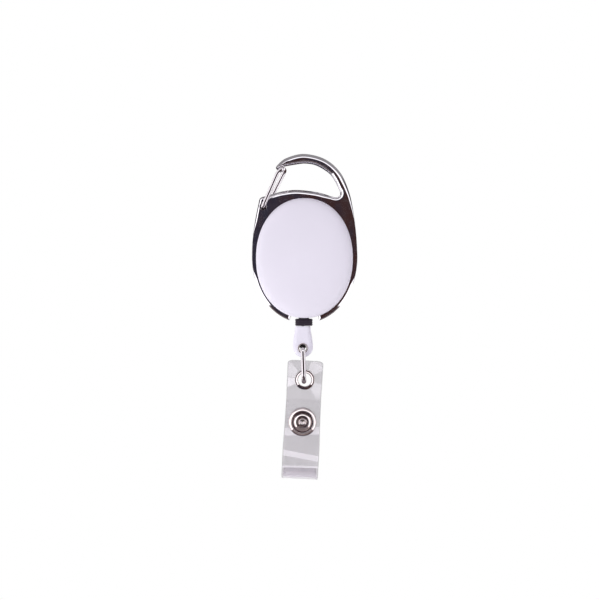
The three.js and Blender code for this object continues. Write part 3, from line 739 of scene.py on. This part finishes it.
def frame_outline():
    """The frame's outline, and the (width, steepest tilt) of its flank at each point."""
    f = FRAME
    x0, z0 = f["centre"]
    outer = (f["half_width"], f["half_height"], f["fullness"])
    inner = (f["inner_half_width"], f["inner_half_height"], OVAL["fullness"])
    gap = f["tip_half_gap"]
    inner_gap = gap - f["tip_slant"]
    right, left = (lower_angle(*outer[::2], x - x0) for x in (gap, -gap))
    inner_right, inner_left = (lower_angle(*inner[::2], x) for x in (inner_gap, -inner_gap))
    lower_right = oval(np.linspace(right, 0, 90), *outer) + (x0, z0)
    lower_left = oval(np.linspace(-math.pi, left, 90), *outer) + (x0, z0)
    inside_ring = oval(np.linspace(inner_left, inner_right - 2 * math.pi, 330), *inner)
    outer_side = [
        (18.4, 0.7), (18.0, 8.0), (16.9, 16.5), (15.4, 23.3), (12.4, 29.8),
        (7.1, 34.4), (-0.2, 36.2), (-6.4, 34.7), (-9.3, 32.4),
    ]
    nose = [(-9.3, 32.4), (-9.85, 31.6), (-9.75, 31.0), (-9.2, 30.75), (-8.4, 30.95), (-6.8, 31.9)]
    hook_inside = [
        (-6.8, 31.9), (-3.3, 32.5), (0.2, 32.9), (4.0, 32.25), (8.15, 29.85), (10.3, 27.4), (12.0, 24.1),
        (12.45, 22.9), (12.3, 21.9), (11.6, 21.3), (10.7, 21.15), (9.6, 21.4),
    ]
    bar_top = [(9.6, 21.4), (4.5, 22.9), (-2.4, 23.7), (-7.5, 23.2), (-12.0, 22.0), (-14.5, 21.25)]
    shoulder = [(-14.5, 21.25), (-15.2, 20.95), (-15.6, 20.3), (-15.85, 19.2)]
    left_side = [(-15.85, 19.2), (-17.1, 12.9), (-18.0, 6.0), (-18.2, 0.7)]
    made = [
        flanked(lower_right, (-9.5, 1.05, 37), (-6.5, 0.08, 50)),
        flanked(spaced(outer_side, 190), (13.0, 0.08, 50), (20.0, 0.85, 50), (27.0, 1.6, 50)),
        flanked(spaced(nose, 24), (31.0, 1.2, 50)),
        flanked(
            spaced(hook_inside, 120), (22.5, 1.3, 50), (24.0, 1.0, 50), (28.0, 1.1, 50), (31.0, 1.6, 50)
        ),
        flanked(spaced(bar_top, 80), (21.3, 1.2, 50), (22.3, 1.6, 50)),
        flanked(spaced(shoulder, 12), (20.0, 0.9, 50)),
        flanked(spaced(left_side, 60), (8.5, 0.08, 50), (13.0, 0.8, 50)),
        flanked(lower_left, (-7.5, 1.05, 37), (-4.0, 0.08, 50)),
        flanked(inside_ring, (0.0, 0.6, 50)),
    ]
    made = left_turning(evened(np.vstack(made), 0.12, 0.4))
    return made[:, :2], made[:, 2:]


def carabiner_frame():
    f, g = FRAME, GATE
    holes = tuple([(g[at], g["hole"], 0.22, g["hole_depth"])] for at in ("front_pivot", "back_pivot"))
    loop, flank = frame_outline()
    half = f["half_depth"]
    verts, faces, _ = plate(loop, -half, half, holes=holes, grid=0.8, flank=flank)
    normals = flank_normals(verts, loop, flank, holes)
    piece("frame_casting", verts, faces, CASE_PLACE, "case", ["carabiner_frame"], "frame_chrome",
          normals=normals)


def gate_wire():
    g = GATE
    leg, stub = g["leg"], g["stub"]
    stops = [("front_pivot", -stub), ("front_pivot", -leg), ("front_top", -leg), ("bridge", -leg),
             ("back_top", leg), ("back_pivot", leg), ("back_pivot", stub)]
    corners = [(g[at][0], y, g[at][1]) for at, y in stops]
    path = evenly(rounded(corners, g["bend"], 9, closed=False), 190)
    verts, faces = tube(path, g["wire"], 24)
    piece("gate_wire", verts, faces, CASE_PLACE, "gate", ["wire_gate"], "bright_wire")


# ---- the case ----


def shell_body(profile, segments=180):
    """A (radius, y) profile carried round the case's oval."""
    o = OVAL
    angle = np.linspace(0, 2 * math.pi, segments, endpoint=False)
    rim = oval(angle, o["half_width"], o["half_height"], o["fullness"])
    verts = []
    for radius, y in profile:
        ring = rim * max(radius, SMALLEST) / o["half_width"]
        verts.append(np.stack([ring[:, 0], np.full(segments, y), ring[:, 1]], axis=1))
    faces = ring_faces(len(profile), segments)
    faces.append(tuple(range(segments))[::-1])
    faces.append(tuple(range((len(profile) - 1) * segments, len(profile) * segments)))
    return np.vstack(verts), faces


def shell_profile(crown, inner, towards):
    """One shell, from its crown over the rim, along the waist and back inside."""
    s, half = SHELL, OVAL["half_width"]
    outer = spaced(crown, 44)
    rim = rounded([(half, crown[-1][1]), (half, s["lip"]), (s["waist"], s["lip"]), (s["waist"], s["joint"]),
                   (s["waist"] - s["wall"], s["joint"]), inner[0]], 0.3, 5)
    profile = np.vstack([outer, rim[1:], np.array(inner[1:])])
    return profile * (1, towards)


def case_shells():
    front, back, half = SHELL["front"], SHELL["back"], OVAL["half_width"]
    dome = [(r, front - drop) for r, drop in (
        (0, 0), (3, 0.03), (6, 0.12), (9, 0.27), (11.5, 0.47), (13.6, 0.78), (15.1, 1.2),
        (16.1, 1.8), (16.6, 2.4), (half, 3.0),
    )]
    under_dome = [(14.1, 2.6), (13.2, 3.3), (10.5, 3.75), (6, 4.05), (0, 4.2)]
    pan = [(r, back - drop) for r, drop in (
        (0, 0), (4, 0), (8, 0), (12.4, 0), (13.4, 0.06), (14.6, 0.35), (15.7, 0.95), (16.4, 1.7),
        (half, 2.4),
    )]
    in_pan = [(14.1, 2.4), (13.0, 3.3), (12.0, 3.6), (0, 3.6)]
    for name, node, crown, inner, towards in (
        ("case_front", "front_shell", dome, under_dome, -1), ("case_back", "back_shell", pan, in_pan, 1),
    ):
        verts, faces = shell_body(shell_profile(crown, inner, towards))
        piece(name, verts, [f[::-towards] for f in faces], CASE_PLACE, "case", [node], "white_plastic")


def exit_bushing():
    """A ribbed block round the cord, with a neck and a flange that the shells hold."""
    low, high = (mm(c) - CASE_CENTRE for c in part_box("cord_exit_bushing"))
    middle, half_width, half_depth = (low[0] + high[0]) / 2, (high[0] - low[0]) / 2, high[1]
    bottom, top = low[2], -21.0
    groove = ((0.0, 0.0), (0.08, -0.14), (0.23, -0.14), (0.31, 0.0))
    levels = [
        (bottom, -0.35), (bottom + 0.08, -0.12), (bottom + 0.3, 0.0),
        *((bottom + low_edge + up, inset) for low_edge in (0.72, 1.42) for up, inset in groove),
        (top - 0.3, 0.0), (top - 0.08, -0.12), (top, -0.35),
    ]
    rings = [(z, half_width + inset, half_depth + inset, 5.0) for z, inset in levels]
    neck, flange, bore, mouth = (1.8, 1.3, 5.0), (2.7, 1.9, 5.0), (0.75, 0.75, 2.0), (0.95, 0.95, 2.0)
    rings += [(top, *neck), (-17.0, *neck), (-16.95, *flange), (-16.4, *flange)]
    rings += [(-16.4, *bore), (bottom + 0.25, *bore), (bottom, *mouth)]
    sides = 96
    angle = np.linspace(0, 2 * math.pi, sides, endpoint=False)
    verts = []
    for z, a, b, fullness in rings:
        shift = LINE_X if fullness == 2.0 else middle
        ring = oval(angle, a, b, fullness)
        verts.append(np.stack([ring[:, 0] + shift, ring[:, 1], np.full(sides, z)], axis=1))
    faces = ring_faces(len(rings), sides, closed_along=True)
    piece("exit_block", np.vstack(verts), faces, CASE_PLACE, "case", ["cord_exit_bushing"], "black_plastic")


# ---- the cord's end, its fitting and the link ----


def cord_run():
    """The straight run of cord, which lengthens between the case and its end."""
    low, high = (mm(c) - CASE_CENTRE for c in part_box("cord_lead"))
    path = np.array([(LINE_X, 0, z) for z in np.linspace(high[2], low[2], 160)])
    verts, faces = tube(path, CORD_RADIUS, 20)
    made = piece("cord_run", verts, faces, CASE_PLACE, None, ["cord_lead"], "nylon_cord")
    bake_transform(made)


def fitting_outline():
    """The fitting's closed outline, and the open line of its sides and round end."""
    f = FITTING
    top, half, wide, wide_z = f["top"], f["top_half_width"], f["half_width"], f["wide_z"]
    a, b, c, d = np.array([(-half, top), (-half - 0.15, top - 2.8), (-wide, wide_z + 2.6), (-wide, wide_z)])
    t = np.linspace(0, 1, 30)[:, None]
    left = (1 - t) ** 3 * a + 3 * t * (1 - t) ** 2 * b + 3 * t**2 * (1 - t) * c + t**3 * d
    end = oval(np.linspace(math.pi, 2 * math.pi, 60), wide, wide_z - f["bottom"]) + (0, wide_z)
    right = left[::-1] * (-1, 1)
    line = np.vstack([left, end, right])
    corners = [(half, top - 0.8), (half, top), (-half, top), (-half, top - 0.8)]
    corners = rounded(corners, 0.2, 6)
    body = line[line[:, 1] < top - 0.25]
    loop = evened(np.vstack([body, corners[1:-1]]), 0.1, 0.3)
    return loop + (LINE_X, 0), line + (LINE_X, 0)


def end_fitting():
    f = FITTING
    bore = [((LINE_X, EYELET_Z), EYELET["barrel"] + 0.06, 0.15)]
    loop, sides = fitting_outline()
    half, split = f["half_depth"], f["split"]
    bevels, depths = (f["bevel"], 0.12), (f["bevel_depth"], 0.1)
    for name, node, front, back, step in (
        ("fitting_front", "end_fitting_front", -half, -split, 1),
        ("fitting_back", "end_fitting_back", split, half, -1),
    ):
        verts, faces, _ = plate(loop, front, back, bevels[::step], depths[::step], through=bore,
                                grid=0.5, rounded_edge=sides)
        piece(name, verts, faces, CASE_PLACE, "fitting", [node], "fitting_plastic")


def packed_cord():
    """The cord's end, packed into the eyelet above the link."""
    reach, half = EYELET["bore"] - 0.06, 0.9
    base = LINK["top"] + LINK["wire"] * 0.55
    low = base - EYELET_Z
    start = math.degrees(math.asin(low / reach))
    loop = arc((LINE_X, EYELET_Z), reach, start, 180 - start, 40)
    loop = evened(loop, 0.05, 0.12)
    verts, faces, _ = plate(loop, -half, half, (0.35, 0.35), (0.3, 0.3), grid=0.2)
    piece("cord_tail", verts, faces, CASE_PLACE, "fitting", [], "nylon_cord")


def eyelet():
    e = EYELET
    face, outer = e["face"], e["face"] + e["thickness"]
    half = [(e["bore"], outer - 0.1), (e["bore"] + 0.18, outer), (e["flange"] - 0.2, outer),
            (e["flange"], face), (e["barrel"], face)]
    profile = [(r, -y) for r, y in half] + half[::-1]
    verts, faces = turned(rounded(profile, 0.14, 5, closed=True), (LINE_X, EYELET_Z), 72)
    piece("eyelet", verts, faces, CASE_PLACE, "fitting", ["end_eyelet"], "nickel")


def link():
    k = LINK
    half, bend, length = k["half_width"], k["bend"], k["length"]
    path = np.vstack([
        [(-0.06, 0)],
        arc((-(half - bend), -bend), bend, 90, 180, 14),
        arc((0, half - length), half, 180, 360, 48),
        arc((half - bend, -bend), bend, 0, 90, 14),
        [(0.06, 0)],
    ])
    path = np.insert(evenly(path, 170), 0, 0, axis=1)
    verts, faces = tube(path, k["wire"], 28, 0.05)
    piece("link_wire", verts, faces, LINK_PLACE, "link", ["link_ring"], "bright_wire")


# ---- the strap ----


FOLD_TURN = math.asin(STRAP["fold_end"] / STRAP["fold"])  # past half a turn
FOLD_Z = -STRAP["below"] + STRAP["fold"] + STRAP["thickness"] / 2


def front_path():
    """(y, z) from the strap's top down its front leaf and round the fold."""
    s = STRAP
    straight = np.stack([np.zeros(60), np.linspace(s["above"], FOLD_Z, 60)], axis=1)
    fold = arc((s["fold"], FOLD_Z), s["fold"], 180, 360 + math.degrees(FOLD_TURN), 70)
    return np.vstack([straight, fold[1:]])


def flap_path():
    """(y, z) from the fold up the rear leaf."""
    s = STRAP
    start_y = s["fold"] * (1 + math.cos(FOLD_TURN))
    start_z = FOLD_Z + s["fold_end"]
    flat_from = s["snap_z"] - SNAP["radius"] - 0.5
    closing = spaced([
        (start_y, start_z), (start_y - 0.2, start_z + 2.7), (4.5, start_z + 5.6),
        (s["snap_y"] + 0.6, flat_from - 1.8), (s["snap_y"], flat_from),
    ], 60)
    flat = np.stack([np.full(40, s["snap_y"]), np.linspace(flat_from, s["flap_top"], 40)], axis=1)
    return np.vstack([closing, flat[1:]])


def path_length(path):
    return float(np.sum(norm(np.diff(path, axis=0), axis=1)))


def strap_outline(length, widths, round_first, corner):
    """A strip from z = 0 down to -length, with two corners rounded at its first or last end.
    widths has (distance from the first end, half width)."""
    at = np.linspace(0, length, 60)
    half = np.interp(at, *zip(*widths))
    right = np.stack([half, -at], axis=1)
    left = right[::-1] * (-1, 1)
    end, level, way = (0, 0, -1) if round_first else (-1, -length, 1)
    wide, shoulder = way * half[end], level + way * corner
    cut = [(wide, shoulder), (wide, level), (-wide, level), (-wide, shoulder)]
    ends = rounded(cut, corner * 0.98, 9)
    left, right = (side[way * (side[:, 1] - shoulder) > 0] for side in (left, right))
    return np.vstack([left, ends, right][::-way])


def leaf(path, widths, round_first, holes_at):
    """A leaf of the strap, bent along its path, with round holes at (distance along, radius)."""
    half, edge = STRAP["thickness"] / 2, (STRAP["edge_radius"], STRAP["edge_radius"])
    outline = strap_outline(path_length(path), widths, round_first, STRAP["corner"])
    loop = evened(outline, 0.1, 0.5)
    holes = [((0, -along), radius, 0.08) for along, radius in holes_at]
    verts, faces, flat = plate(loop, -half, half, edge, edge, through=holes, grid=0.7)
    return bent_along(verts, path), faces, flat


def strap_leaves():
    s = STRAP
    path = front_path()
    above = s["above"]
    widths = [(0, 6.2), (above + 2, 6.15), (above + 6, 6.05), (above + 14, 6.15),
              (above + 24, 6.4), (above + 34, 6.35), (path_length(path), 5.6)]
    holes = [(above, GROMMET["hole"]), (above - s["snap_z"], SNAP["hole"])]
    verts, faces, flat = leaf(path, widths, True, holes)
    flat[:, 1] += above
    piece("strap_sheet", verts, faces, STRAP_PLACE, "strap", ["strap_front"], "clear_vinyl", flat)

    path = flap_path()
    length = path_length(path)
    snap_at = length - (s["flap_top"] - s["snap_z"])
    widths = [(0, 5.6), (4, 5.45), (14, 5.9), (length, 6.1)]
    verts, faces, flat = leaf(path, widths, False, [(snap_at, SNAP["hole"])])
    made = piece("strap_leaf", verts, faces, STRAP_PLACE, None, ["strap_flap"],
                 "clear_vinyl", flat, finish="clear_vinyl_rear")
    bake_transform(made)


def on_strap(name, profile, centre_z, body, node, radius=0.12):
    """A turned metal piece, pressed onto the strap."""
    verts, faces = turned(rounded(profile, radius, 5, closed=True), (0, centre_z))
    piece(name, verts, faces, STRAP_PLACE, body, [node], "nickel")


def grommet_parts():
    g = GROMMET
    face = STRAP["thickness"] / 2 + SEAT
    outer = face + g["thickness"]
    bore, barrel, flange = g["bore"], g["barrel"], g["flange"]
    on_strap("grommet_barrel", [
        (bore, -outer + 0.25), (bore + 0.14, -outer), (bore + 0.68, -outer + 0.27),
        (flange - 0.1, -face - 0.12), (flange, -face), (barrel, -face), (barrel, outer - 0.02),
        (bore, outer - 0.02),
    ], 0, "strap", "grommet")
    inner = barrel + 0.06
    on_strap("grommet_ring", [
        (inner, face), (flange, face), (flange - 0.15, outer - 0.1), (inner, outer - 0.1),
    ], 0, "strap", "grommet_washer")


def snap_parts():
    """The cap and socket on the front leaf, and the stud and its post on the rear leaf."""
    n, z, rear = SNAP, STRAP["snap_z"], STRAP["snap_y"]
    reach = STRAP["thickness"] / 2 + SEAT
    face = -reach
    front = rounded([
        (0.02, -1.42), (0.45, -1.5), (0.75, -1.72), (1.2, -1.55), (1.62, -1.05), (1.75, -0.85),
        (2.05, -0.85), (2.15, -1.42), (2.3, -1.5), (2.85, -1.13), (3.1, -0.72), (3.7, -0.72),
        (3.8, -1.4), (4.0, -1.5), (4.6, -1.1), (n["radius"], -0.8),
    ], 0.1, 5)
    rest = rounded([(n["radius"], -0.8), (n["radius"] - 0.1, face), (n["barrel"], face), (n["barrel"], 0.3),
                    (0.02, 0.3)], 0.1, 4)
    verts, faces = turned(np.vstack([front, rest[1:]]), (0, z))
    piece("snap_front", verts, faces, STRAP_PLACE, "strap", ["snap_cap"], "nickel")
    face = reach
    knob = n["stud"] + 0.3
    on_strap("snap_catch", [
        (0.02, face), (n["socket"], face), (n["socket"], 1.0), (3.9, 1.5), (2.2, 1.5), (knob, 1.3),
        (knob, face + 0.2), (0.02, face + 0.2),
    ], z, "strap", "snap_socket")
    face = rear - reach
    knob = n["stud"]
    on_strap("snap_knob", [
        (0.02, 0.8), (knob - 0.5, 0.8), (knob - 0.05, 1.1), (knob - 0.25, 1.75), (knob + 0.5, face - 0.3),
        (n["socket"] - 0.3, face - 0.3), (n["socket"] - 0.1, face), (0.02, face),
    ], z, "flap", "snap_stud")
    face = rear + reach
    on_strap("snap_rear", [
        (0.02, rear - 0.25), (n["barrel"], rear - 0.25), (n["barrel"], face),
        (n["radius"] - 0.1, face), (n["radius"], face + 0.4), (4.3, face + 0.75), (2.9, face + 0.62),
        (1.4, face + 0.42), (0.02, face + 0.42),
    ], z, "flap", "snap_post")


carabiner_frame()
gate_wire()
case_shells()
exit_bushing()
cord_run()
end_fitting()
packed_cord()
eyelet()
link()
strap_leaves()
grommet_parts()
snap_parts()

# ---- the pieces inside the case keep their CAD shape ----

INSIDE = {
    "spring_steel": ("spring_arbor", "power_spring"),
    "spool_plastic": ("spool_drum", "spring_cover"),
    "nylon_cord": ("wound_cord", "cord_feed", "cord_end_knot"),
}
for finish_name, node_names in INSIDE.items():
    for node_name in node_names:
        slots = frame["nodes"][node_name].data.materials
        slots.clear()
        slots.append(FINISHES[finish_name])

# ---- the studio ----


ROOM = {
    "tent_right": (1.45, 1.42, 1.50), "tent_left": (1.95, 1.88, 1.96), "low_band": (1.35, 1.28, 1.30),
    "dark_band": (0.060, 0.050, 0.055), "high_band": (0.30, 0.285, 0.30), "seam": (0.11, 0.095, 0.10),
    "underside": (0.050, 0.034, 0.040), "glint": (0.50, 0.42, 0.42), "slit": (0.22, 0.205, 0.215),
    "cool_end": (0.030, 0.028, 0.046), "warm_end": (0.052, 0.023, 0.021),
}


def studio_world():
    """What the metal reflects: a white tent, grey overhead, dark in front, behind and underneath.
    Depth is how far a direction points forward or back, and rise is its height from there. The
    camera itself sees plain white."""
    world = bpy.data.worlds.new("studio")
    bpy.context.scene.world = world
    world.use_nodes = True
    graph = Graph(world.node_tree)
    graph.nodes.clear()
    ramp, mix, calc, times = graph.ramp, graph.mix, graph.math, graph.times

    where = graph.node("ShaderNodeTexCoord")
    split = graph.node("ShaderNodeSeparateXYZ")
    graph.link(where.outputs["Generated"], split.inputs[0])
    x, y, z = split.outputs
    depth = calc("ABSOLUTE", y)
    spread = calc("SQRT", calc("ADD", times(x, x), times(z, z)))
    rise = calc("DIVIDE", z, calc("MAXIMUM", spread, 0.05))
    lean = calc("ADD", times(x, -0.75), times(z, -0.66))
    tent = mix(ramp(lean, -0.9, 0.9, 0.0, 1.0), ROOM["tent_right"], ROOM["tent_left"])
    band = mix(ramp(rise, 0.06, 0.14, 0.0, 1.0), ROOM["low_band"], ROOM["dark_band"])
    band = mix(ramp(rise, 0.38, 0.56, 0.0, 1.0), band, ROOM["high_band"])
    raised = calc("SUBTRACT", depth, ramp(rise, 0.4, 0.9, 0.0, 0.20))
    room = mix(ramp(raised, 0.17, 0.31, 0.0, 1.0), band, tent)
    seam = times(ramp(depth, 0.20, 0.26, 1.0, 0.0), ramp(rise, 0.08, 0.16, 1.0, 0.0))
    room = mix(seam, room, ROOM["seam"])
    below = ramp(rise, -0.665, -0.625, 1.0, 0.0)
    room = mix(below, room, ROOM["underside"])
    glint = times(ramp(depth, 0.33, 0.36, 0.0, 1.0), ramp(depth, 0.39, 0.42, 1.0, 0.0))
    room = mix(times(glint, below), room, ROOM["glint"])
    slit = times(ramp(depth, 0.06, 0.16, 1.0, 0.0), ramp(rise, -0.94, -0.86, 1.0, 0.0))
    room = mix(slit, room, ROOM["slit"])
    end = mix(ramp(x, -0.05, 0.05, 0.0, 1.0), ROOM["cool_end"], ROOM["warm_end"])
    room = mix(ramp(depth, 0.68, 0.77, 0.0, 1.0), room, end)
    reflected = graph.node("ShaderNodeBackground")
    graph.link(room, reflected.inputs["Color"])
    plain = graph.node("ShaderNodeBackground", Color=(1, 1, 1, 1))
    path = graph.node("ShaderNodeLightPath")
    both = graph.node("ShaderNodeMixShader")
    graph.link(path.outputs["Is Camera Ray"], both.inputs[0])
    graph.link(reflected.outputs[0], both.inputs[1])
    graph.link(plain.outputs[0], both.inputs[2])
    out = graph.node("ShaderNodeOutputWorld")
    graph.link(both.outputs[0], out.inputs["Surface"])


def studio_floor():
    """A pale floor, clear of the pulled-out cord. The metal doesn't reflect it."""
    room_below, half = 0.25, 3.4
    drop = -(JOINTS["cord_pull"]["range_m"][1] + room_below)
    mesh = bpy.data.meshes.new("floor")
    corners = [(-half, -half, drop), (half, -half, drop), (half, half, drop), (-half, half, drop)]
    mesh.from_pydata(corners, [], [(0, 1, 2, 3)])
    floor = bpy.data.objects.new("floor", mesh)
    bpy.context.scene.collection.objects.link(floor)
    finish = Finish("floor_paper", Roughness=0.9)
    finish.colour(finish.mix(finish.noise(6, 3.0), (0.90, 0.90, 0.90), (0.94, 0.94, 0.94)))
    mesh.materials.append(finish.material)
    floor.visible_glossy = False


def soft_light(name, towards, size, power):
    """A square light, which the metal doesn't reflect."""
    distance = 0.9
    data = bpy.data.lights.new(name, "AREA")
    data.size = size
    data.energy = power
    made = bpy.data.objects.new(name, data)
    middle = (cad_box[0] + cad_box[1]) / 2
    made.location = middle + Vector(towards).normalized() * distance
    made.rotation_euler = (middle - made.location).to_track_quat("-Z", "Y").to_euler()
    made.visible_glossy = False
    bpy.context.scene.collection.objects.link(made)


def camera():
    """Straight at the front, as wide as the picture needs."""
    seen_height = 208.4  # of the plane through the case's middle
    middle_x, middle_z = -1.7, -47.4
    lens, sensor = 100.0, 36.0
    data = bpy.data.cameras.new("camera")
    data.lens = lens
    data.sensor_width = sensor
    distance = seen_height / 2 / (sensor / 2 / lens)
    data.clip_start, data.clip_end = 0.01, 20
    made = bpy.data.objects.new("camera", data)
    made.location = Vector((middle_x, -distance, middle_z)) * MM
    made.rotation_euler = (math.radians(90), 0, 0)
    bpy.context.scene.collection.objects.link(made)
    bpy.context.scene.camera = made


studio_world()
studio_floor()
soft_light("key", (-0.9, -0.7, -0.35), 0.5, 1.9)
soft_light("fill", (-0.25, -1.0, -0.75), 0.6, 1.9)
soft_light("rear", (-0.4, 0.9, -0.5), 0.6, 3.0)
camera()
bpy.context.scene.view_settings.view_transform = "Standard"
